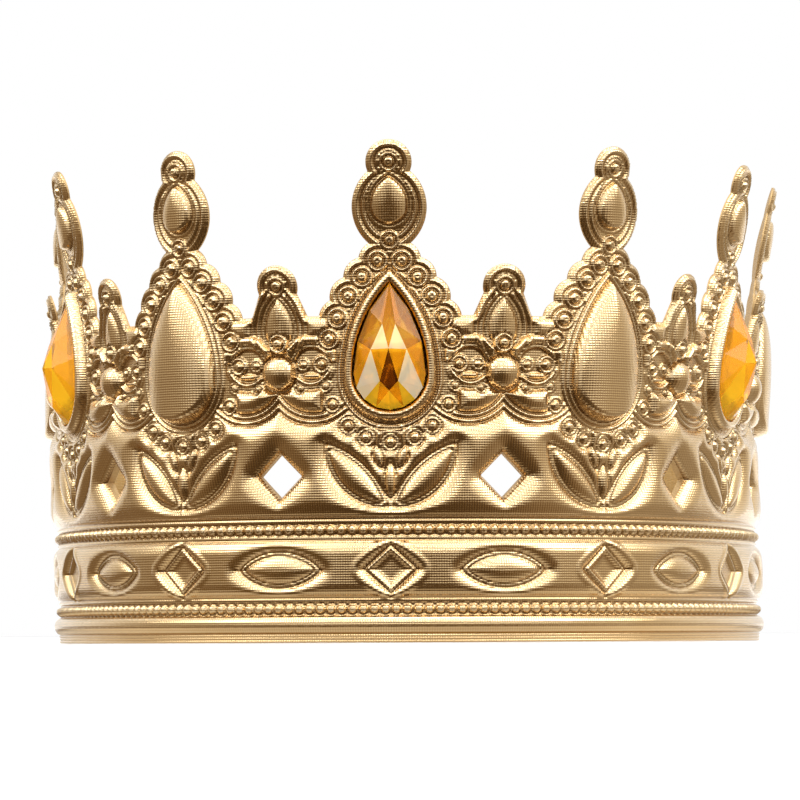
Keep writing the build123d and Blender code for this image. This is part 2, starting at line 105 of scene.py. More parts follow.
def plan(s):
    """Points of the sheet's outer face at each s, and its turn from the front."""
    run, side = np.abs(s), np.where(s < 0, -1.0, 1.0)
    front = run <= FRONT_HALF
    turn = np.where(front, run / FRONT_RADIUS, SIDE_START + (run - FRONT_HALF) / SIDE_RADIUS)
    radius = np.where(front, FRONT_RADIUS, SIDE_RADIUS)
    cx = np.where(front, 0.0, SIDE_CENTRE_X)
    cy = np.where(front, 0.0, SIDE_CENTRE_Y)
    x = side * (cx + radius * np.sin(turn))
    y = cy - radius * np.cos(turn)
    return x, y, side * turn


def step(x, low, high):
    """0 below low, 1 above high, and smooth between them."""
    t = np.clip((x - low) / (high - low), 0, 1)
    return t * t * (3 - 2 * t)


def tall_number(s):
    """Number of the nearest tall point, from -3 at the left to 3 at the right."""
    return np.clip(np.round(s / PITCH), -3, 3)


def low_middle(s):
    """Place of the nearest low point along the sheet."""
    return (np.clip(np.floor(s / PITCH), -3, 2) + 0.5) * PITCH


def flare(s, z):
    """How far the soft points bend outwards at their free ends."""
    k = tall_number(s)
    reach = np.where((k == -3) | (k == -1), 2.2, np.where(k == 1, 3.4, 5.4))
    tall = reach * np.clip((z - 84.0) / 31.0, 0, 2) ** 1.5
    v = (s / PITCH) % 1.0 * PITCH - PITCH / 2
    low = 3.1 * np.clip((z - 71.0) / 16.0, 0, 2) ** 1.5 * (1 - step(np.abs(v), 6.0, 11.0))
    return np.where(z > 88.5, tall, np.maximum(tall, low))


def lean(x, z):
    """How far the side walls lean towards the left."""
    return (1.2 * np.clip(z / 50, 0, 1) - 0.3 * step(z, 60, 110)) * step(np.abs(x), 35.0, 80.0)


def sway(x, z):
    """How far the crest of the right half, and one point of the left half, stand to the side."""
    right = 1.8 * step(x, 25.0, 45.0)
    left = 0.8 * step(-x, 25.0, 45.0) * (1 - step(-x, 55.0, 68.0))
    return step(z, 45.0, 80.0) * (right - left)


def place(s, z, height):
    """Points for places on the sheet, with its soft lean and flare."""
    x, y, turn = plan(s)
    reach = height + flare(s, z)
    x = x + reach * np.sin(turn)
    y = y - reach * np.cos(turn)
    x = x - lean(x, z) + sway(x, z)
    return np.stack([x, y, z], axis=1)


# Outline of the die-cut sheet: distances inside are positive

def hypot(a, b):
    return np.sqrt(a * a + b * b)


def drop_arcs(half, bottom, top):
    """Middle of a drop's round bottom, its rise from there, and the radius of its two arcs."""
    centre = bottom + half
    rise = top - centre
    return centre, rise, (half**2 + rise**2) / (2 * half)


def drop_distance(u, z, shape, grow=0.0):
    """Signed distance outside a teardrop: a round bottom, and two arcs up to a point."""
    half = shape[0] + grow
    centre, _, radius = drop_arcs(half, shape[1] - grow, shape[2] + grow * 1.5)
    arcs = hypot(np.abs(u) - (half - radius), z - centre) - radius
    return np.where(z > centre, arcs, hypot(u, z - centre) - half)


def drop_dome(u, z, shape, high, tip_power):
    """Height of a drop that is round across, level down its middle, and creased by its tip."""
    half, _, top = shape
    centre, _, radius = drop_arcs(*shape)
    wide = half - radius + np.sqrt(np.clip(radius**2 - (z - centre) ** 2, 0, None))
    wide = np.clip(np.where(z > centre, wide, half), 0.05, half)
    power = 2.0 + (tip_power - 2.0) * step(z, centre - 1.0, top - 2.0)
    across = np.clip(np.abs(u) / wide, 0, 1) ** power
    depth = np.clip(-drop_distance(u, z, shape), 0, None)
    return high * (wide / half) ** 0.4 * np.sqrt(1 - across) * puff(depth, 0.16 * half, 1.8)


def wedge_depth(u, z):
    """Depth inside the lines that join the middles of the chain beads."""
    points = [(0.0, 91.0)] + CHAIN
    depth = np.full_like(u, 99.0)
    for (u0, z0), (u1, z1) in zip(points, points[1:]):
        length = math.hypot(u1 - u0, z1 - z0)
        nu, nz = (z0 - z1) / length, (u1 - u0) / length
        depth = np.minimum(depth, -((np.abs(u) - u0) * nu + (z - z0) * nz))
    return depth


def tall_depth(u, z):
    """Depth inside a tall point: tip, upper drop's border, scallops, and what they hold."""
    depth = TIP_RADIUS - hypot(u, z - TIP_Z)
    border = BORDER_RADIUS - hypot(np.abs(u) + BORDER_SHIFT, z - BORDER_Z)
    depth = np.maximum(depth, np.where((z > 90.5) & (z < 108.6), border, -9.0))
    for bu, bz in CHAIN[:4]:
        depth = np.maximum(depth, SCALLOP - hypot(np.abs(u) - bu, z - bz))
    return np.maximum(depth, wedge_depth(u, z))


def low_depth(v, z):
    """Depth inside a low point: a round tip on straight sides."""
    tip = LOW_TIP_RADIUS - hypot(v, z - LOW_TIP_Z)
    slope = (LOW_LOWER_HALF - LOW_UPPER_HALF) / (LOW_SIDES_Z - VALLEY_Z)
    sides = (LOW_UPPER_HALF + (LOW_SIDES_Z - z) * slope - np.abs(v)) / math.hypot(1, slope)
    return np.maximum(tip, np.where(z < 81.0, sides, -9.0))


def outline_depth(s, z):
    """Depth inside the cut-out sheet, holes left aside."""
    drop = VALLEY_Z - TAIL_HEIGHT
    run = np.abs(s)
    level = VALLEY_Z - drop * step(run, SHOULDER, SHOULDER + drop)
    down = np.clip((run - SHOULDER) / drop, 0, 1)
    slope = 6 * down * (1 - down)
    depth = (level - z) / np.sqrt(1 + slope * slope)
    inner = HALF_LENGTH - TAIL_CORNER
    corner = TAIL_CORNER - hypot(run - inner, z - (TAIL_HEIGHT - TAIL_CORNER))
    in_corner = (run > inner) & (z > TAIL_HEIGHT - TAIL_CORNER)
    depth = np.where(in_corner, corner, depth)
    depth = np.maximum(depth, tall_depth(s - tall_number(s) * PITCH, z))
    return np.maximum(depth, low_depth(s - low_middle(s), z))


def diamond_distance(u, z, half_wide, half_high, middle):
    """Signed distance outside a diamond, exact round its corners."""
    a, b = np.abs(u), np.abs(z - middle)
    along = (half_wide - 2 * a) * half_wide - (half_high - 2 * b) * half_high
    along = np.clip(along / (half_wide**2 + half_high**2), -1, 1)
    away = hypot(a - 0.5 * half_wide * (1 - along), b - 0.5 * half_high * (1 + along))
    return away * np.sign(a * half_high + b * half_wide - half_wide * half_high)


def hole_distance(s, z):
    """Distance outside the nearest of the eight diamond holes."""
    m = np.clip(np.floor(s / PITCH), -4, 3) + 0.5
    return diamond_distance(s - m * PITCH, z, *HOLE)


def sheet_depth(s, z):
    """Depth inside the sheet with its holes."""
    return np.minimum(outline_depth(s, z), hole_distance(s, z))


# Height of the embossed face

def ridge(x, middle, half):
    """A smooth ridge of height 1 that is 0 beyond half from its middle."""
    t = np.clip(1 - ((x - middle) / half) ** 2, 0, 1)
    return t * t


def puff(depth, width, power=2.0):
    """0 at an edge, rising steeply and then levelling off at 1."""
    t = np.clip(depth / width, 0, 1)
    return (1 - (1 - t) ** power) ** (1 / power)


def ball(x, radius):
    """Height of a round ball's upper half, as a share of its radius."""
    return np.sqrt(np.clip(1 - (x / radius) ** 2, 0, 1))


def lens_distance(a, b, half, high, low):
    """Outside a pointed oval along a, whose arcs bulge by high above and low below."""
    inside, outside = [], [hypot(np.abs(a) - half, b)]
    for bulge, side in ((high, 1), (low, -1)):
        radius = (half**2 + bulge**2) / (2 * bulge)
        rise = side * b + radius - bulge
        length = hypot(a, rise)
        inside.append(length - radius)
        on_arc = (np.abs(a) * radius < half * length) & (side * b > 0)
        outside.append(np.where(on_arc, np.maximum(length - radius, 0), 99.0))
    depth = -smooth_min(-inside[0], -inside[1], 1.2)
    away = np.minimum(np.minimum(outside[0], outside[1]), outside[2])
    return np.where(np.maximum(*inside) < 0, np.minimum(depth, 0), away)


def smooth_min(a, b, blur):
    """The lower of two, with a smooth passage of width blur."""
    share = np.clip(0.5 + 0.5 * (b - a) / blur, 0, 1)
    return b + (a - b) * share - blur * share * (1 - share)


def leaf_distance(u, z):
    """Outside the pair of large leaves under each large drop."""
    tip, end = (0.5, 31.0), (15.2, 45.7)
    length = math.hypot(end[0] - tip[0], end[1] - tip[1])
    du, dz = (end[0] - tip[0]) / length, (end[1] - tip[1]) / length
    across, up = np.abs(u) - (tip[0] + end[0]) / 2, z - (tip[1] + end[1]) / 2
    return lens_distance(across * du + up * dz, up * du - across * dz, length / 2, 2.7, 4.5)


def bead(height, distance, radius, level, proud):
    """A small embossed bead: a ring round a dome with a pin prick at its middle."""
    ring = level + 0.55 * proud * ridge(distance, radius, radius * 0.3)
    dome = level + proud * (ball(distance, radius * 0.68) - 0.3 * ridge(distance, 0, radius * 0.22))
    inside = distance < radius * 1.3
    return np.where(inside, np.maximum(np.minimum(height, level), np.maximum(ring, dome)), height)


def bands(s, z):
    """Rim, hem roll, two bead rows and the two puffed bands, before their motifs."""
    height = np.full_like(z, -0.25)
    for line in (0.35, 1.0, 1.65):
        height += 0.42 * ridge(z, line, 0.34)
    roll = -0.45 + 1.65 * puff(np.minimum(z - HEM_LOW, HEM_HIGH - z), 2.1)
    height = np.where(z > HEM_LOW, roll, height)
    height = np.where(z > HEM_HIGH, -0.55, height)
    offset = ((s / ROW_STEP) % 1.0 - 0.5) * ROW_STEP
    for row in ROWS_Z:
        height += 0.6 * ridge(z, row + 1.95, 0.6)
        near = (np.abs(z - row) < 1.5) & (np.abs(s) < HALF_LENGTH - 1.5)
        dome = -0.55 + 1.2 * ball(hypot(offset, z - row), ROW_BEAD)
        height = np.where(near, np.maximum(height, dome), height)
    height += 0.5 * ridge(z, 24.05, 0.5)
    return height


def quilt(distances, low, high, width):
    """Cloth pressed down along lines and puffed up between them."""
    nearest = distances[0]
    for distance in distances[1:]:
        nearest = smooth_min(nearest, distance, 1.4)
    return low + (high - low) * puff(np.maximum(nearest, 0), width, 1.7)


def lower_band(s, z, height):
    """The band of diamonds and pointed ovals."""
    u = s - np.round(s / PITCH) * PITCH
    v = s - (np.floor(s / PITCH) + 0.5) * PITCH
    diamond = diamond_distance(u, z, *BAND_DIAMOND)
    oval = lens_distance(v, z - 16.6, 10.4, 4.3, 4.1)
    sides = np.minimum(z - BAND_LOW, BAND_HIGH - z)
    out = quilt([sides, np.maximum(diamond, 0), np.maximum(oval, 0)], -0.6, 1.2, 3.2)
    out = out + 0.4 * ridge(diamond, 1.7, 1.6)
    core = diamond_distance(u, z, *BAND_DIAMOND_CORE)
    inside = -0.45 + 0.75 * ridge(diamond, -0.55, 0.65) - 0.25 * step(-core, 0, 1.6)
    inside = inside + 0.3 * ridge(core, 0.0, 0.5)
    out = np.where(diamond < 0, inside, out)
    dome = -0.45 + 1.5 * puff(-oval - 0.9, 3.0, 1.6) + 0.55 * ridge(oval, -0.5, 0.5)
    out = np.where(oval < 0, dome, out)
    return np.where((z > BAND_LOW) & (z < BAND_HIGH), out, height)


def field(s, z, height):
    """The puffed field of leaves and diamond holes, up to the scallops."""
    u = s - tall_number(s) * PITCH
    leaf = leaf_distance(u, z)
    middle_leaf = lens_distance(z - 37.0, u, 4.2, 1.5, 1.5)
    hole = hole_distance(s, z) - 1.3
    seat = drop_distance(u, z, SEAT, 1.6)
    arc = hypot(np.abs(s - low_middle(s)) - ARC_U, z - ARC_Z) - 11.9
    small = small_leaf_distance(u, z)
    beads = np.minimum.reduce([hypot(np.abs(u) - bu, z - bz) - 1.9 for bu, bz in UNDER_CHAIN])
    tail = np.where(np.abs(s) > 3.5 * PITCH, outline_depth(s, z), 9.0)
    by_hole = np.maximum(hole, 0) + 0.9
    edges = [z - FIELD_LOW, leaf, middle_leaf, by_hole, seat, arc, small, beads, tail]
    out = quilt([np.maximum(edge, 0) for edge in edges], -0.8, 1.5, 4.6)
    dome = -0.7 + 1.75 * puff(-leaf - 0.75, 3.0, 1.7) + 0.65 * ridge(leaf, -0.4, 0.5)
    out = np.where(leaf < 0, dome, out)
    dome = -0.6 + 1.3 * puff(-middle_leaf - 0.3, 1.3) + 0.4 * ridge(middle_leaf, -0.2, 0.3)
    out = np.where(middle_leaf < 0, dome, out)
    dome = -0.6 + 1.1 * puff(-small, 1.0)
    out = np.where(small < 0, dome, out)
    rim = -0.1 + 0.55 * ridge(hole, 0.05, 0.5) + 0.35 * ridge(hole, -1.1, 0.4)
    out = np.where(hole < 0, rim, out)
    share = np.maximum(step(np.abs(s), 3 * PITCH + 13, 3 * PITCH + 24), 1 - step(z, 48.0, 62.0))
    inside = (z > FIELD_LOW) & (arc > -0.8) & (seat > -0.6)
    return np.where(inside, height + (out - height) * share, height)


def small_leaf_distance(u, z):
    """Outside the pair of small leaves over the large ones."""
    tilt = 0.3
    across, up = np.abs(u) - 2.9, z - 42.6
    a = up * math.cos(tilt) + across * math.sin(tilt)
    b = across * math.cos(tilt) - up * math.sin(tilt)
    return lens_distance(a, b, 3.0, 1.0, 1.0)


def flower(v, z, height):
    """The flower under each low point: eye, ringed petals, domed petals and a small drop."""
    a = np.abs(v)
    arc = hypot(a - ARC_U, z - ARC_Z)
    ring = hypot((a - RING_U) / 1.03, z - RING_Z)
    eye = hypot(v, z - EYE_Z)
    drop = drop_distance(v, z, LOW_DROP)
    inside = (arc < 12.4) & (z > 50.0) & (z < 63.0) & (a < 16.5)
    height = np.where(inside, CREST + 0.25, height)
    lines = 0.75 * ridge(arc, 11.5, 0.6) + 0.7 * ridge(arc, 10.2, 0.6)
    height = height + np.where(inside & (z < 59.0), lines, 0)
    petal = np.maximum(np.maximum(arc - 9.4, 5.7 - ring), np.maximum(4.7 - eye, a - 11.0))
    petal = np.maximum(petal, z - 59.5)
    height = np.where(petal < 0, CREST + 0.2 + 2.3 * puff(-petal, 2.6, 1.8), height)
    ledge = np.maximum(np.maximum(70.2 - z, z - 74.3), np.maximum(2.9 - drop, a - 12.5))
    height = np.where(ledge < 0, CREST + 0.2 + 1.2 * puff(-ledge, 1.9), height)
    upper = (z > 64.5) & (a > 2.2) & (a < 13.6)
    band = np.where(upper, 1.45 * puff(np.minimum(ring - 4.7, 7.0 - ring), 1.1), 0)
    height = np.where(band > 0, CREST + 0.1 + band, height)
    height = np.where(ring < 4.7, CREST - 0.1, height)
    height = height + 1.2 * ridge(ring, 4.35, 0.65) + 0.35 * ridge(ring, 5.25, 0.45) * (z < 65)
    bar = np.maximum(np.abs(z - 61.3) - 0.55, np.abs(a - 8.1) - 1.9)
    height = np.where(bar < 0, CREST - 0.1 + 0.9 * puff(-bar, 0.55), height)
    height = bead(height, hypot(a - 10.4, z - 63.9), 1.75, CREST - 0.1, 1.4)
    height = bead(height, hypot(a - 5.9, z - 63.9), 1.3, CREST - 0.1, 1.1)
    for bu, bz, radius in ((11.4, 58.9, 1.25), (5.3, 58.4, 1.15), (13.0, 54.6, 1.7)):
        height = bead(height, hypot(a - bu, z - bz), radius, CREST + 0.1, 1.1)
    height = height + (z > 67.0) * (0.6 * ridge(drop, 1.05, 0.6) + 0.55 * ridge(drop, 2.35, 0.6))
    dome = CREST + 0.05 + 1.7 * puff(-drop - 0.5, 3.0, 1.6) + 0.5 * ridge(drop, -0.1, 0.5)
    height = np.where(drop < 0.4, dome, height)
    height = bead(height, hypot(v, z - 68.8), 1.9, CREST + 0.6, 1.9)
    height = np.where(eye < 4.6, CREST - 0.2, height)
    height = np.where(eye < EYE_RADIUS, CREST - 0.2 + 3.7 * ball(eye, EYE_RADIUS), height)
    return bead(height, hypot(v, z - LOW_TIP_Z), 1.9, CREST + 0.1, 1.5)


def tall(u, z, stone, height):
    """A tall point: the large drop or the seat of a stone, its chain, and the upper drop."""
    large = drop_distance(u, z, SEAT)
    border = (large < 1.9) & (large > -0.4)
    height = np.where(border, CREST + 0.1, height)
    height = height + border * 0.75 * ridge(large, 1.25, 0.55)
    inner = drop_distance(u, z, GEM)
    tube = np.maximum(2.8 * ball(inner - 1.1, 1.4), 0.7 * ridge(large, 0.0, 0.6))
    seat = np.where(inner < 0.0, -0.6, CREST + 0.2 + tube)
    dome = CREST + 0.1 + drop_dome(u, z, SEAT_DOME, 4.9, 1.3)
    dome = np.where(large > -0.6, CREST + 0.1 + 0.9 * ridge(large, 0.0, 0.62), dome)
    height = np.where(large < 0.6, np.where(stone, seat, dome), height)
    for bu, bz in CHAIN:
        height = bead(height, hypot(np.abs(u) - bu, z - bz), 2.1, CREST, 1.6)
    height = bead(height, hypot(u, z - 92.3), 1.9, CREST, 1.6)
    upper = drop_distance(u, z, UPPER_DROP)
    dome = CREST + 0.05 + drop_dome(u, z, UPPER_DOME, 2.5, 1.2) + 0.5 * ridge(upper, -0.15, 0.55)
    height = np.where(upper < 0.4, dome, height)
    return bead(height, hypot(u, z - TIP_Z), 1.9, CREST, 1.5)


def face_height(s, z):
    """Height of the whole embossed face over the plan's line."""
    height = bands(s, z)
    height = lower_band(s, z, height)
    height = np.where(z > FIELD_LOW, CREST + 0.15, height)
    height = field(s, z, height)
    depth = outline_depth(s, z)
    upper = step(z, 72.0, 75.5)
    lines = 0.65 * ridge(depth, 1.2, 0.62) + 0.65 * ridge(depth, 2.75, 0.6) * step(z, 88, 91)
    tip_lines = 0.7 * ridge(depth, 2.6, 0.55) * step(z, 78.0, 80.0) * (1 - step(z, 86.5, 87.5))
    v = s - low_middle(s)
    height = height + upper * lines + tip_lines * (np.abs(v) < 6)
    k = tall_number(s)
    u = s - k * PITCH
    for bu, bz in UNDER_CHAIN:
        height = bead(height, hypot(np.abs(u) - bu, z - bz), 1.75, -0.7, 1.3)
    near = (np.abs(v) < 16.8) & (z > 50) & (z < 87)
    height[near] = flower(v[near], z[near], height[near])
    near = (np.abs(u) < 17.5) & (z > 48)
    stone = (np.abs(k[near]) < 2.5) & (k[near] % 2 == 0)
    height[near] = tall(u[near], z[near], stone, height[near])
    edge = np.minimum(depth, hole_distance(s, z))
    edge = np.where(np.abs(s) > HALF_LENGTH - 3, np.minimum(edge, HALF_LENGTH - np.abs(s)), edge)
    rim = 0.55 * np.sqrt(np.clip(edge / 0.35, 0, 1)) + np.clip(edge - 0.35, 0, 99) * 3 - 1.35
    return np.minimum(height, rim)


def back_height(z):
    """Height of the sheet's back: the foam is thinner in the points than in the band."""
    return SHEET_BACK + (CREST_BACK - SHEET_BACK) * step(z, 44.0, 54.0)


# Meshes

def evenly(low, high, size):
    """Even places from low to high, about one size apart."""
    return np.linspace(low, high, max(1, int(round((high - low) / size))) + 1)


def add_object(name, points, faces):
    """An object in the scene made from points in millimetres and faces."""
    mesh = bpy.data.meshes.new(name)
    mesh.from_pydata((np.array(points) * MM).tolist(), [], faces)
    mesh.update()
    made = bpy.data.objects.new(name, mesh)
    bpy.context.collection.objects.link(made)
    return made


def read(items, name):
    """One whole number of each item of a mesh."""
    values = np.zeros(len(items), np.int32)
    items.foreach_get(name, values)
    return values


def lay_cloth(mesh, places):
    """Gives the mesh cloth coordinates: each point's place on the flat cloth, in metres."""
    corners = read(mesh.loops, "vertex_index")
    uv = mesh.uv_layers.new(name="cloth")
    uv.data.foreach_set("uv", (np.array(places)[corners] * MM).astype(np.float32).ravel())


def pulled_to_edge(s, z, fixed_s, fixed_z):
    """Moves points to the line where the sheet is cut."""
    small = 0.02
    for _ in range(3):
        depth = sheet_depth(s, z)
        ds = (sheet_depth(s + small, z) - sheet_depth(s - small, z)) / (2 * small)
        dz = (sheet_depth(s, z + small) - sheet_depth(s, z - small)) / (2 * small)
        ds = np.where(fixed_s, 0, ds)
        dz = np.where(fixed_z, 0, dz)
        size = np.maximum(ds * ds + dz * dz, 0.3)
        move = np.clip(depth, -0.3, 0.3)
        s = s - move * ds / size
        z = z - move * dz / size
    return s, z


def loops_of(edges):
    """Closed loops of vertex indexes from directed edges."""
    following = dict(edges)
    loops = []
    while following:
        start, here = following.popitem()
        loop = [start]
        while here != start:
            loop.append(here)
            here = following.pop(here)
        loops.append(loop)
    return loops


def sheet_piece(name, low, high, size):
    """One closed length of the crown's sheet: embossed face, cut edge and plain lining."""
    s_line = evenly(low, high, size)
    z_line = np.concatenate([[0.0]] + [evenly(*level)[1:] for level in LEVELS])
    rows = len(z_line) - 1
    s_mid = (s_line[1:] + s_line[:-1]) / 2
    z_mid = (z_line[1:] + z_line[:-1]) / 2
    ss, zz = np.meshgrid(s_mid, z_mid, indexing="ij")
    kept = sheet_depth(ss.ravel(), zz.ravel()).reshape(ss.shape) > 0
    kept = without_pinches(kept)
    i, j = np.nonzero(kept)
    stride = rows + 1
    corner = i * stride + j
    quads = np.stack([corner, corner + stride, corner + stride + 1, corner + 1], axis=1)
    used, quads = np.unique(quads, return_inverse=True)
    quads = quads.reshape(-1, 4)
    s = s_line[used // stride]
    z = z_line[used % stride]

    padded = np.pad(kept, 1)
    directed = []
    index = {int(v): n for n, v in enumerate(used)}
    for shift, a, b in (((-1, 0), (0, 1), (0, 0)), ((1, 0), (1, 0), (1, 1)),
                        ((0, -1), (0, 0), (1, 0)), ((0, 1), (1, 1), (0, 1))):
        low_i, low_j = 1 + shift[0], 1 + shift[1]
        other = padded[low_i:low_i + kept.shape[0], low_j:low_j + kept.shape[1]]
        ii, jj = np.nonzero(kept & ~other)
        first = (ii + a[0]) * stride + jj + a[1]
        second = (ii + b[0]) * stride + jj + b[1]
        directed += [(index[int(p)], index[int(q)]) for p, q in zip(first, second)]
    rim = np.array(sorted({p for p, _ in directed}))
    fixed_s = (s[rim] == low) | (s[rim] == high)
    fixed_z = z[rim] == 0
    moved_s, moved_z = pulled_to_edge(s[rim], z[rim], fixed_s, fixed_z)
    moved = (sheet_depth(s[rim], z[rim]) < 1.5) & ~(fixed_z & fixed_s)
    s[rim[moved]] = moved_s[moved]
    z[rim[moved]] = moved_z[moved]

    height = face_height(s, z)
    cavity = crease(s, z, height)
    loops = loops_of(directed)
    back_s, back_z, back_faces, rim_back = lining(s, z, loops, low, high)
    count = len(s)
    walls = []
    for loop in loops:
        for p, q in zip(loop, loop[1:] + loop[:1]):
            walls.append((q, p, count + rim_back[p], count + rim_back[q]))
    all_s = np.concatenate([s, back_s])
    all_z = np.concatenate([z, back_z])
    all_h = np.concatenate([height, back_height(back_z)])
    faces = quads.tolist() + walls + [tuple(count + v for v in face) for face in back_faces]
    piece = add_object(name, place(all_s, all_z, all_h), faces)
    cavity = np.concatenate([cavity, np.zeros(len(back_s))])
    lay_cloth(piece.data, np.stack([all_s, all_z], axis=1))
    shade_piece(piece.data, len(quads), len(walls), cavity)
    return piece


def without_pinches(kept):
    """Fills cells where two kept cells touch only at a corner, so that the edge is one line."""
    for _ in range(3):
        a, b = kept[:-1, :-1], kept[1:, 1:]
        c, d = kept[1:, :-1], kept[:-1, 1:]
        pinch_one = a & b & ~c & ~d
        pinch_two = c & d & ~a & ~b
        kept[1:, :-1] |= pinch_one
        kept[:-1, :-1] |= pinch_two
    return kept


def crease(s, z, height):
    """How much deeper a place is than the cloth around it, for the painted shade in its hollows and the
    painted highlight on its ridges.
    """
    reach = 0.55
    sides = ((1, 0), (-1, 0), (0, 1), (0, -1))
    around = sum(face_height(s + a * reach, z + b * reach) for a, b in sides)
    return np.clip((around / 4 - height) / 0.35, -1, 1)


def lining(s, z, loops, low, high):
    """The back face: the rim's points joined to a coarse net of points inside."""
    rim = [v for loop in loops for v in loop]
    rim_back = {v: n for n, v in enumerate(rim)}
    points = [Vector((s[v], z[v])) for v in rim]
    edges = []
    for loop in loops:
        edges += [(rim_back[p], rim_back[q]) for p, q in zip(loop, loop[1:] + loop[:1])]
    net = 3.0
    net_s, net_z = np.arange(low + net / 2, high, net), np.arange(net / 2, TOP_Z, net)
    gs, gz = (axis.ravel() for axis in np.meshgrid(net_s, net_z, indexing="ij"))
    inside = np.minimum(sheet_depth(gs, gz), np.minimum(gs - low, high - gs)) > 1.0
    inside &= np.minimum(gz, HALF_LENGTH - np.abs(gs)) > 1.0
    points += [Vector((a, b)) for a, b in zip(gs[inside], gz[inside])]
    verts, _, faces, origin, _, _ = delaunay_2d_cdt(points, edges, [], 0, 1e-6, True)
    back_s = np.array([v.x for v in verts])
    back_z = np.array([v.y for v in verts])
    order = {}
    for new, olds in enumerate(origin):
        for old in olds:
            order[old] = new
    rim_back = {v: order[n] for v, n in rim_back.items()}
    triangles = np.array([tuple(face) for face in faces])
    middle_s = back_s[triangles].mean(axis=1)
    middle_z = back_z[triangles].mean(axis=1)
    inside = inside_loops(middle_s, middle_z, s, z, loops)
    back_faces = [tuple(int(v) for v in face[::-1]) for face in triangles[inside]]
    return back_s, back_z, back_faces, rim_back


def inside_loops(ps, pz, s, z, loops):
    """Whether points lie inside the loops, by counting crossings."""
    odd = np.zeros(len(ps), bool)
    for loop in loops:
        for p, q in zip(loop, loop[1:] + loop[:1]):
            z0, z1 = z[p], z[q]
            if z0 == z1:
                continue
            span = ((pz >= z0) != (pz >= z1))
            if not span.any():
                continue
            at = s[p] + (pz - z0) / (z1 - z0) * (s[q] - s[p])
            odd ^= span & (ps < at)
    return odd


def shade_piece(mesh, face_count, wall_count, cavity):
    """Smooth shading with sharp cut edges, creases and materials."""
    count = len(mesh.polygons)
    mesh.polygons.foreach_set("use_smooth", np.ones(count, bool))
    slots = np.zeros(count, np.int32)
    slots[face_count:face_count + wall_count] = 1
    slots[face_count + wall_count:] = 2
    mesh.polygons.foreach_set("material_index", slots)
    attribute = mesh.attributes.new("crease", "FLOAT", "POINT")
    attribute.data.foreach_set("value", cavity.astype(np.float32))
    mark_sharp(mesh, slots)


def mark_sharp(mesh, slots):
    """Marks the edges where two materials meet as sharp."""
    edges = read(mesh.loops, "edge_index")
    kind = np.repeat(slots, read(mesh.polygons, "loop_total"))
    low = np.full(len(mesh.edges), 9)
    high = np.full(len(mesh.edges), -1)
    np.minimum.at(low, edges, kind)
    np.maximum.at(high, edges, kind)
    sharp = mesh.attributes.new("sharp_edge", "BOOLEAN", "EDGE")
    sharp.data.foreach_set("value", low != high)


# Materials

# The painted light of a stone's facets, from painted shade in dark amber to a painted reflection in pale
# yellow, each colour over its span of tone
STONE_PAINTED_LIGHT_COLOURS = [
    ((0.0, 0.45), (0.80, 0.34, 0.008, 1)),
    ((0.4, 0.85), (1.0, 0.66, 0.03, 1)),
    ((0.86, 1.0), (1.0, 0.97, 0.72, 1)),
]


class Nodes:
    """Short hand for a material's nodes, whose inputs are given by name, or as i and a number."""

    def __init__(self, name):
        self.material = bpy.data.materials.new(name)
        self.material.use_nodes = True
        self.tree = self.material.node_tree
        self.shader = self.tree.nodes["Principled BSDF"]

    def add(self, kind, settings=None, **inputs):
        node = self.tree.nodes.new("ShaderNode" + kind)
        for key, value in (settings or {}).items():
            setattr(node, key, value)
        for key, value in inputs.items():
            self.put(node, key, value)
        return node

    def put(self, node, key, value):
        socket = node.inputs[int(key[1:])] if key[1:].isdigit() else node.inputs[key.replace("_", " ")]
        if isinstance(value, bpy.types.NodeSocket):
            self.tree.links.new(value, socket)
        elif isinstance(value, bpy.types.Node):
            self.tree.links.new(value.outputs[0], socket)
        else:
            socket.default_value = value

    def reckon(self, kind, settings, values):
        return self.add(kind, settings, **{f"i{n}": value for n, value in enumerate(values)})

    def math(self, operation, *values, clamp=False):
        return self.reckon("Math", {"operation": operation, "use_clamp": clamp}, values)

    def vector(self, operation, *values):
        return self.reckon("VectorMath", {"operation": operation}, values)

    def ramp(self, value, span, levels):
        """A smooth ramp from one level to another over a span of the value."""
        inputs = dict(zip(("i1", "i2", "i3", "i4"), (*span, *levels)))
        node = self.add("MapRange", {"interpolation_type": "SMOOTHSTEP"}, i0=value, **inputs)
        return node.outputs[0]

    def noise(self, where, scale, detail, dimensions="3D", output="Fac"):
        settings = {"noise_dimensions": dimensions}
        node = self.add("TexNoise", settings, Vector=where, Scale=scale, Detail=detail)
        return node.outputs[output]

    def cloth_noise(self, uv, scale, detail, output="Fac"):
        return self.noise(uv, scale, detail, "2D", output)

    def bump(self, strength, distance, height, **below):
        return self.add("Bump", Strength=strength, Distance=distance, Height=height, **below)

    def attribute(self, name):
        return self.add("Attribute", {"attribute_name": name}).outputs["Fac"]

    def where(self):
        return self.add("TexCoord").outputs["Object"]

    def cloth(self):
        return self.add("UVMap", {"uv_map": "cloth"}).outputs[0]

    def mix(self, factor, a, b):
        return self.add("Mix", {"data_type": "RGBA"}, i0=factor, i6=a, i7=b).outputs[2]

    def surface(self, **inputs):
        for key, value in inputs.items():
            self.put(self.shader, key, value)


def woven(nodes, period, wobble):
    """Height of a plain weave, from the cloth coordinates in metres."""
    uv = nodes.cloth()
    noise = nodes.cloth_noise(uv, 900.0, 1.0, "Color")
    shifted = nodes.vector("MULTIPLY_ADD", noise, (wobble, wobble, 0), uv)
    parts = nodes.add("SeparateXYZ", i0=shifted)
    turn = 2 * math.pi / period
    warp = nodes.math("SINE", nodes.math("MULTIPLY", parts.outputs[0], turn))
    weft = nodes.math("SINE", nodes.math("MULTIPLY", parts.outputs[1], turn))
    return nodes.math("ADD", warp, weft), uv


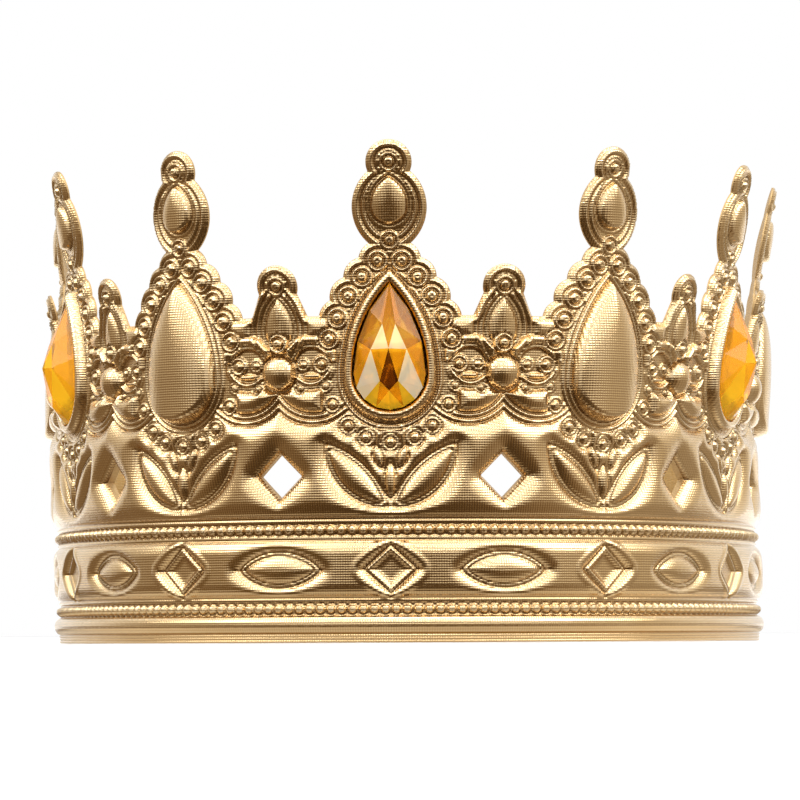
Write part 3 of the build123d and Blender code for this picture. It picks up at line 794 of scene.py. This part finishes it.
def gold_cloth():
    """Shiny woven cloth of gold thread, with painted shade darkening its creases and a painted highlight
    paling its ridges.
    """
    nodes = Nodes("gold_cloth")
    weave, uv = woven(nodes, 0.00058, 0.00010)
    blotch = nodes.cloth_noise(uv, 90.0, 3.0)
    grain = nodes.cloth_noise(uv, 2600.0, 2.0)
    hollow = nodes.attribute("crease")
    base = nodes.mix(blotch, (0.90, 0.63, 0.31, 1), (1.0, 0.75, 0.42, 1))
    thread = nodes.math("MULTIPLY_ADD", weave, 0.14, 0.26)
    base = nodes.mix(thread, base, (0.50, 0.29, 0.10, 1))
    # Painted shade: the cloth is darkened where it lies deeper than the cloth around it.
    dark = nodes.math("MULTIPLY", hollow, 0.75, clamp=True)
    base = nodes.mix(dark, base, (0.42, 0.24, 0.08, 1))
    # Painted highlight: the cloth is paled where it stands higher than the cloth around it.
    painted_ridge_highlight = nodes.math("MULTIPLY", hollow, -0.5, clamp=True)
    base = nodes.mix(painted_ridge_highlight, base, (1.0, 0.82, 0.54, 1))
    rough = nodes.ramp(grain, (0.3, 0.7), (0.11, 0.22))
    coarse = nodes.bump(1.0, 0.000014, weave)
    fine = nodes.bump(0.6, 0.00001, grain, Normal=coarse)
    nodes.surface(Base_Color=base, Metallic=1.0, Roughness=rough, Normal=fine)
    nodes.surface(Coat_Weight=0.5, Coat_Roughness=0.25, Coat_IOR=1.6)
    return nodes.material


def lining_cloth():
    """The plain, duller back of the sheet."""
    nodes = Nodes("gold_lining")
    weave, uv = woven(nodes, 0.00075, 0.00015)
    base = nodes.mix(nodes.cloth_noise(uv, 60.0, 4.0), (0.42, 0.25, 0.07, 1), (0.58, 0.37, 0.13, 1))
    bump = nodes.bump(1.0, 0.00004, weave)
    nodes.surface(Base_Color=base, Metallic=0.75, Roughness=0.45, Normal=bump)
    return nodes.material


def cut_edge():
    """The die-cut edge, where threads and foam show."""
    nodes = Nodes("cut_edge")
    noise = nodes.noise(nodes.where(), 2500.0, 2.0)
    base = nodes.mix(noise, (0.40, 0.25, 0.09, 1), (0.68, 0.48, 0.24, 1))
    bump = nodes.bump(0.7, 0.00006, noise)
    nodes.surface(Base_Color=base, Metallic=0.6, Roughness=0.5, Normal=bump)
    return nodes.material


def amber_stone():
    """Clear amber plastic, whose facets each carry painted light as a tone, from painted shade in dark
    amber to a painted reflection in pale yellow.
    """
    nodes = Nodes("amber_stone")
    where = nodes.where()
    cloud = nodes.math("MULTIPLY_ADD", nodes.noise(where, 60.0, 2.0), 0.16, -0.08)
    tone = nodes.math("ADD", nodes.attribute("tone"), cloud)
    base = (0.05, 0.012, 0.001, 1)
    # The tone is painted light: dark facets get painted shade, pale ones a painted reflection.
    for span, colour in STONE_PAINTED_LIGHT_COLOURS:
        base = nodes.mix(nodes.ramp(tone, span, (0.0, 1.0)), base, colour)
    bump = nodes.bump(0.15, 0.00005, nodes.noise(where, 400.0, 1.0))
    nodes.surface(Base_Color=base, Roughness=0.03, IOR=1.45, Transmission_Weight=0.7, Normal=bump)
    nodes.surface(Specular_IOR_Level=0.08)
    return nodes.material


def stone_foil():
    """The bright foil behind each stone."""
    nodes = Nodes("stone_foil")
    noise = nodes.noise(nodes.where(), 300.0, 2.0)
    base = nodes.mix(noise, (0.98, 0.66, 0.12, 1), (1.0, 0.80, 0.28, 1))
    bump = nodes.bump(0.3, 0.00008, noise)
    nodes.surface(Base_Color=base, Metallic=1.0, Roughness=0.15, Normal=bump)
    return nodes.material


def elastic():
    """Ribbed and knitted elastic ribbon, with painted shade in the hollows of its ribs and knit."""
    nodes = Nodes("elastic_strap")
    uv = nodes.cloth()
    parts = nodes.add("SeparateXYZ", i0=uv)
    rib = nodes.math("SINE", nodes.math("MULTIPLY", parts.outputs[1], 2 * math.pi / 0.0021))
    knit = nodes.math("SINE", nodes.math("MULTIPLY", parts.outputs[0], 2 * math.pi / 0.0009))
    thread = nodes.math("MULTIPLY_ADD", rib, 0.5, nodes.math("MULTIPLY", knit, 0.25))
    noise = nodes.cloth_noise(uv, 1800.0, 3.0)
    base = nodes.mix(noise, (0.60, 0.43, 0.20, 1), (0.80, 0.62, 0.36, 1))
    # Painted shade: darker where the ribs and knit sink in.
    shade = nodes.math("MULTIPLY_ADD", thread, -0.3, 0.2, clamp=True)
    base = nodes.mix(shade, base, (0.35, 0.22, 0.09, 1))
    bump = nodes.bump(1.0, 0.00015, thread)
    fuzz = nodes.bump(0.5, 0.00008, noise, Normal=bump)
    nodes.surface(Base_Color=base, Roughness=0.75, Sheen_Weight=0.3, Normal=fuzz)
    return nodes.material


def finish_piece(piece, materials):
    """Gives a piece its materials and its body."""
    for material in materials:
        piece.data.materials.append(material)
    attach(piece, "root")
    return piece


# The crown's sheet

GOLD, EDGE, LINING = gold_cloth(), cut_edge(), lining_cloth()
FRONT_END, SIDE_END = 35.5, 124.0
LENGTHS = [
    ("crown_back_left", -HALF_LENGTH, -SIDE_END, BACK_STEP),
    ("crown_left", -SIDE_END, -FRONT_END, FRONT_STEP),
    ("crown_front", -FRONT_END, FRONT_END, FRONT_STEP),
    ("crown_right", FRONT_END, SIDE_END, FRONT_STEP),
    ("crown_back_right", SIDE_END, HALF_LENGTH, BACK_STEP),
]
for piece_name, start, end, size in LENGTHS:
    crown = sheet_piece(piece_name, start, end, size)
    finish_piece(crown, [GOLD, EDGE, LINING])
    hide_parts("crown_shell")


# The stones

# Right half of the stone's facet corners: across, up, and out from the sheet's plane
APEX = (0.0, 66.9, 7.4)
CROWN_RIGHT = [(1.5, 72.6, 5.35), (4.1, 66.8, 6.05), (2.1, 59.6, 5.4)]
CROWN_FOOT = (0.0, 57.4, 4.8)
GIRDLE_TOP = 1.5
GIRDLE_FOOT = 1.1
INNER_RING = 0.1
STONE_BACK = -0.38
STONE_MIDDLE_Z = 64.5

# Painted light on each facet of the front, from painted shade to painted reflection: those on the middle
# line, then one side's.
# Then the painted light of all other facets, and the level that those of a side stone are drawn towards.
MIDDLE_PAINTED_LIGHT = [0.25, 0.0, 0.0]
SIDE_PAINTED_LIGHT = [1.0, 0.40, 0.30, 0.25, 0.20, 0.34, 0.48, 1.0, 0.97, 0.80, 0.40, 0.75]
RING_PAINTED_LIGHT = 0.5
SIDE_STONE_PAINTED_LIGHT = 0.62


def girdle_points(height):
    """Right half of the pear outline from its point down to its round foot."""
    half = GEM[0]
    centre, rise, radius = drop_arcs(*GEM)
    full = math.asin(rise / radius)
    points = []
    for a in (1, 0.66, 0.33, 0):
        out = half - radius + radius * math.cos(full * a)
        points.append((out, centre + radius * math.sin(full * a), height))
    for a in (0.25, 0.5, 0.75, 1):
        turn = a * math.pi / 2
        points.append((half * math.cos(turn), centre - half * math.sin(turn), height))
    return points


def stone(name, k, painted_light_contrast):
    """A pear-cut stone: rose-cut front, girdle, and a shallow facetted back on foil."""
    right = girdle_points(GIRDLE_TOP)
    verts = [APEX, CROWN_FOOT] + CROWN_RIGHT + [(-u, z, h) for u, z, h in CROWN_RIGHT]
    first = len(verts)
    ring = right + [(-u, z, h) for u, z, h in reversed(right[1:-1])]
    verts += ring + [(u, z, GIRDLE_FOOT) for u, z, _ in ring]
    count = len(ring)
    verts += [(u * 0.5, (z + STONE_MIDDLE_Z) * 0.5, INNER_RING) for u, z, _ in ring[::2]]
    verts += [(0, STONE_MIDDLE_Z, STONE_BACK)]

    def g(n):
        return first + n % count

    faces = [(0, 2, g(0), 5), (0, 1, 4), (0, 7, 1)]
    for side, (one, two, three) in ((1, (2, 3, 4)), (-1, (5, 6, 7))):
        fan = [(0, two, one), (0, three, two), (one, g(side), g(0)), (one, g(2 * side), g(side)),
               (one, two, g(2 * side)), (two, g(3 * side), g(2 * side)), (two, g(4 * side), g(3 * side)),
               (two, three, g(4 * side)), (three, g(5 * side), g(4 * side)),
               (three, g(6 * side), g(5 * side)), (three, 1, g(6 * side)), (1, g(7 * side), g(6 * side))]
        faces += [face if side > 0 else face[::-1] for face in fan]
    faces = [face[::-1] for face in faces]
    fronts = len(faces)
    low, inner = first + count, first + 2 * count
    half = count // 2
    for n in range(count):
        faces.append((g(n), first + (n + 1) % count, low + (n + 1) % count, low + n))
    for n in range(half):
        here, there = inner + n, inner + (n + 1) % half
        a, b, c = low + 2 * n, low + (2 * n + 1) % count, low + (2 * n + 2) % count
        faces += [(a, b, here), (b, there, here), (b, c, there), (here, there, inner + half)]
    s_middle = k * PITCH
    turn = plan(np.array([s_middle]))[2][0]
    along = np.array([math.cos(turn), math.sin(turn), 0])
    local = np.array(verts)
    points = place(np.full(len(local), s_middle), local[:, 1], local[:, 2]) + local[:, :1] * along
    piece = add_object(name, points, faces)
    mesh = piece.data
    # Each facet's tone is painted shade or a painted reflection; a side stone's tones are flattened
    # towards one level.
    facet_painted_light = np.full(len(faces), RING_PAINTED_LIGHT, np.float32)
    facet_painted_light[:fronts] = MIDDLE_PAINTED_LIGHT + SIDE_PAINTED_LIGHT * 2
    facet_painted_light = SIDE_STONE_PAINTED_LIGHT + (facet_painted_light - SIDE_STONE_PAINTED_LIGHT) * painted_light_contrast
    back = np.zeros(len(faces), np.int32)
    back[fronts + count:] = 1
    mesh.polygons.foreach_set("material_index", back)
    mesh.attributes.new("tone", "FLOAT", "FACE").data.foreach_set("value", facet_painted_light)
    outward = bmesh.new()
    outward.from_mesh(mesh)
    bmesh.ops.recalc_face_normals(outward, faces=outward.faces)
    outward.to_mesh(mesh)
    outward.free()
    return piece


STONE, FOIL = amber_stone(), stone_foil()
# The last number is how strongly each stone's painted shade and painted reflections show.
STONES = [("gem_left", -2, 0.3), ("gem_front", 0, 1.0), ("gem_right", 2, 0.3)]
for stone_name, stone_k, stone_painted_light_contrast in STONES:
    pear = stone("pear_" + stone_name[4:], stone_k, stone_painted_light_contrast)
    finish_piece(pear, [STONE, FOIL])
    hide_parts(stone_name)


# The elastic strap

STRAP_LOW, STRAP_WIDTH, STRAP_THICK = 13.0, 25.0, 1.2
STRAP_LAP, STRAP_BEND, STRAP_TURN = 16.0, 22.0, math.radians(20.0)
STRAP_GAP = 0.25
STRAP_RIBS, STRAP_RIB, STRAP_ROWS = 12, 0.16, 49


def strap_line(inset, gap=1.0):
    """Plan points of the strap and its turn at each: two laps, two bends and a flat bow."""
    end_turn = SIDE_START + (HALF_LENGTH - FRONT_HALF) / SIDE_RADIUS
    lap = STRAP_LAP / SIDE_RADIUS
    radius = SIDE_RADIUS - inset
    heading = end_turn - lap
    point = (SIDE_CENTRE_X + radius * math.sin(heading), SIDE_CENTRE_Y - radius * math.cos(heading))
    bends = [(radius, lap), (STRAP_BEND - inset, math.pi - STRAP_TURN - end_turn)]
    out = []

    def walk(radius, turn):
        nonlocal point, heading
        count = max(2, int(radius * turn / gap))
        start, first = point, heading
        for n in range(count + 1):
            heading = first + turn * n / count
            point = (start[0] + radius * (math.sin(heading) - math.sin(first)),
                     start[1] - radius * (math.cos(heading) - math.cos(first)))
            if n < count:
                out.append((*point, heading))

    for radius, turn in bends:
        walk(radius, turn)
    walk(point[0] / math.sin(STRAP_TURN), 2 * STRAP_TURN)
    for radius, turn in reversed(bends):
        walk(radius, turn)
    out.append((*point, heading))
    return out


def strap():
    """A ribbed elastic ribbon, closed at its ends, a little wavy across its free span."""
    line = strap_line(-SHEET_BACK + STRAP_GAP + STRAP_THICK / 2)
    rows = STRAP_ROWS
    verts, uvs = [], []
    run = 0.0
    total = len(line)
    for n, (x, y, turn) in enumerate(line):
        if n:
            run += math.hypot(x - line[n - 1][0], y - line[n - 1][1])
        free = math.sin(math.pi * n / (total - 1))
        for side in (1, -1):
            for j in range(rows)[::side]:
                share = j / (rows - 1)
                edge = min(share, 1 - share) * STRAP_WIDTH
                half = (STRAP_THICK / 2 - STRAP_RIB) * min(1.0, math.sqrt(edge / 0.8 + 0.02))
                if edge > 1.0:
                    half += STRAP_RIB * math.cos(2 * math.pi * share * STRAP_RIBS)
                wave = 0.25 * free * math.sin(run * 0.09 + share * 3.0)
                out = side * half + wave
                z = STRAP_LOW + 0.15 + share * (STRAP_WIDTH - 0.3)
                verts.append((x + out * math.sin(turn), y - out * math.cos(turn), z))
                uvs.append((run, z))
    ring = 2 * rows
    last = (total - 1) * ring
    faces = [(n + j, n + ring + j, n + ring + (j + 1) % ring, n + (j + 1) % ring)
             for n in range(0, last, ring) for j in range(ring)]
    for j in range(rows - 1):
        end = (j + 1, ring - 2 - j, ring - 1 - j, j)
        faces += [end, tuple(last + v for v in end[::-1])]
    points = np.array(verts)
    points[:, 0] -= lean(points[:, 0], points[:, 2])
    piece = add_object("strap_elastic", points, faces)
    piece.data.polygons.foreach_set("use_smooth", np.ones(len(faces), bool))
    lay_cloth(piece.data, uvs)
    return piece, run


band, band_length = strap()
finish_piece(band, [elastic()])
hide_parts("back_strap")


# The stage, light and camera. Their meshes are in millimetres, and all else here is in metres.

FLOOR_Z = -0.2
FLOOR_HALF = 12000.0


def floor():
    """A plain white floor a hair below the crown."""
    nodes = Nodes("floor")
    nodes.surface(Base_Color=(0.93, 0.93, 0.93, 1), Roughness=0.9)
    corners = [(x * FLOOR_HALF, y * FLOOR_HALF, FLOOR_Z) for x, y in ((-1, -1), (1, -1), (1, 1), (-1, 1))]
    plane = add_object("floor", corners, [(0, 1, 2, 3)])
    plane.data.materials.append(nodes.material)


floor()


def studio_world():
    """Plain white light from all around."""
    world = bpy.data.worlds.new("studio")
    bpy.context.scene.world = world
    world.use_nodes = True
    background = world.node_tree.nodes["Background"]
    background.inputs["Color"].default_value = (1.0, 1.0, 1.0, 1)
    background.inputs["Strength"].default_value = 1.0


studio_world()


def softbox(name, place_at, size, power):
    """A plain area lamp that faces the crown and isn't seen itself."""
    lamp = bpy.data.lights.new(name, "AREA")
    lamp.shape = "RECTANGLE"
    lamp.size, lamp.size_y = size
    lamp.energy = power
    lamp_object = bpy.data.objects.new(name, lamp)
    bpy.context.collection.objects.link(lamp_object)
    lamp_object.location = place_at
    direction = Vector((0, 0, 0.06)) - Vector(place_at)
    lamp_object.rotation_mode = "QUATERNION"
    lamp_object.rotation_quaternion = direction.to_track_quat("-Z", "Y")
    lamp_object.visible_camera = False


softbox("box_right", (2.1, -0.9, 2.0), (2.0, 1.5), 30.0)
softbox("box_left", (-2.1, -0.9, 2.0), (2.0, 1.5), 26.0)
softbox("box_top", (0.0, -0.4, 2.9), (2.6, 1.6), 30.0)
softbox("box_front", (0.1, -2.3, 1.55), (1.2, 0.5), 8.0)


# The cards. A fade is the span of angles over the floor, in degrees, in which a card ends: in
# front, at the sides, and in the gaps. A gap has a direction from the front and a reach.
CARD_FADE, SIDE_FADE, GAP_FADE = (9, 24), (22, 38), (3, 9)
GAPS = [(-28.0, 17.0), (36.0, 20.0)]
FLOOR_GLOW, WALL_GLOW, WALL_RISE, RIM_GLOW = 0.08, 0.20, 0.22, 0.50
LEFT_GLOW, RIGHT_GLOW = 0.14, 0.28

# Half sizes of the crown's plan, and its middle's place as a share of its half depth
PLAN_HALF_X, PLAN_HALF_Y, PLAN_SHIFT = 0.0895, 0.0905, 0.055


def card_material():
    """Warm, dark glow of the cards, which are clear above their edge, in the gaps and behind."""
    nodes = Nodes("black_card")
    where = nodes.where()
    direction = nodes.vector("NORMALIZE", where)
    x, y, up = nodes.add("SeparateXYZ", i0=direction).outputs
    away = nodes.vector("LENGTH", where).outputs["Value"]

    def above(fade):
        return nodes.ramp(up, [math.sin(math.radians(a)) for a in fade], (0.0, 1.0))

    clear = nodes.math("MULTIPLY", nodes.ramp(y, (-0.75, -0.45), (1.0, 0.0)), above(CARD_FADE))
    clear = nodes.math("MAXIMUM", clear, above(SIDE_FADE))
    clear = nodes.math("MAXIMUM", clear, nodes.ramp(y, (0.28, 0.75), (0.0, 1.0)))
    over_gap = above(GAP_FADE)
    heading = nodes.vector("NORMALIZE", nodes.vector("MULTIPLY", direction, (1, 1, 0)))
    for azimuth, reach in GAPS:
        azimuth, reach = math.radians(azimuth), math.radians(reach)
        aim = (math.sin(azimuth), -math.cos(azimuth), 0)
        facing = nodes.vector("DOT_PRODUCT", heading, aim).outputs["Value"]
        window = nodes.ramp(facing, (math.cos(reach), math.cos(reach * 0.4)), (0.0, 1.0))
        clear = nodes.math("MAXIMUM", clear, nodes.math("MULTIPLY", window, over_gap))
    from_middle = (1 / PLAN_HALF_X, 1 / PLAN_HALF_Y, 0)
    beyond = nodes.vector("LENGTH", nodes.vector("MULTIPLY_ADD", where, from_middle, (0, -PLAN_SHIFT, 0)))
    shade = nodes.ramp(away, (0.5, 3.2), (FLOOR_GLOW, WALL_GLOW))
    for value, span, levels in ((up, (0.05, 0.30), (0.0, WALL_RISE)),
                                (x, (-0.2, -0.95), (0.0, LEFT_GLOW)),
                                (x, (0.2, 0.95), (0.0, RIGHT_GLOW)),
                                (beyond.outputs["Value"], (1.0, 1.16), (RIM_GLOW, 0.0))):
        shade = nodes.math("ADD", shade, nodes.ramp(value, span, levels))
    tone = nodes.ramp(shade, (FLOOR_GLOW, 0.5), (0.0, 1.0))
    tint = nodes.mix(tone, (1.0, 0.64, 0.32, 1), (1.0, 0.90, 0.76, 1))
    glow = nodes.add("Emission", Color=tint, Strength=shade)
    see_through = nodes.add("BsdfTransparent")
    card = nodes.add("MixShader", i0=clear, i1=glow, i2=see_through)
    nodes.put(nodes.tree.nodes["Material Output"], "Surface", card)
    return nodes.material


def cards():
    """A bowl of dark, warm cards low round the crown, which only its reflections see."""
    low = -0.1
    rings = [(150.0, low), (3000.0, low), (3600.0, 300.0), (3900.0, 1200.0), (3600.0, 2600.0)]
    count = 48
    turns = [2 * math.pi * n / count for n in range(count)]
    verts = [(r * math.cos(a), r * math.sin(a), z) for r, z in rings for a in turns] + [(0, 0, low)]
    faces = []
    for n in range(count):
        after = (n + 1) % count
        faces.append((n, after, len(verts) - 1))
        for ring in range(0, count * (len(rings) - 1), count):
            faces.append((ring + n, ring + after, ring + after + count, ring + n + count))
    bowl = add_object("black_cards", verts, faces)
    bowl.data.materials.append(card_material())
    bowl.visible_camera = False
    bowl.visible_diffuse = False
    bowl.visible_shadow = False
    bowl.visible_transmission = False


cards()


# The camera: its focal length in pixels of a picture 800 pixels wide, its turns and its place
FOCAL, PICTURE, SENSOR = 4291.0, 800, 36.0
AZIMUTH, YAW, PITCH_UP, ROLL = (math.radians(a) for a in (2.394, 0.0628, 3.1172, 0.27))
DISTANCE, CAMERA_Z = 1.0626, 0.002


def photo_camera():
    """Low in front of the crown and slightly right, looking a little up."""
    camera_data = bpy.data.cameras.new("camera")
    camera_data.sensor_width = SENSOR
    camera_data.lens = FOCAL * SENSOR / PICTURE
    camera_data.clip_start = 0.05
    camera_data.clip_end = 50
    camera = bpy.data.objects.new("camera", camera_data)
    bpy.context.collection.objects.link(camera)
    turn = AZIMUTH + YAW
    back = Vector((math.sin(turn) * math.cos(PITCH_UP), -math.cos(turn) * math.cos(PITCH_UP),
                   -math.sin(PITCH_UP)))
    right = Vector((math.cos(turn), math.sin(turn), 0))
    axes = Matrix((right, back.cross(right), back)).transposed()
    camera.rotation_mode = "QUATERNION"
    camera.rotation_quaternion = (axes @ Matrix.Rotation(-ROLL, 3, "Z")).to_quaternion()
    camera.location = (DISTANCE * math.sin(AZIMUTH), -DISTANCE * math.cos(AZIMUTH), CAMERA_Z)
    bpy.context.scene.camera = camera


photo_camera()
bpy.context.scene.view_settings.view_transform = "Standard"
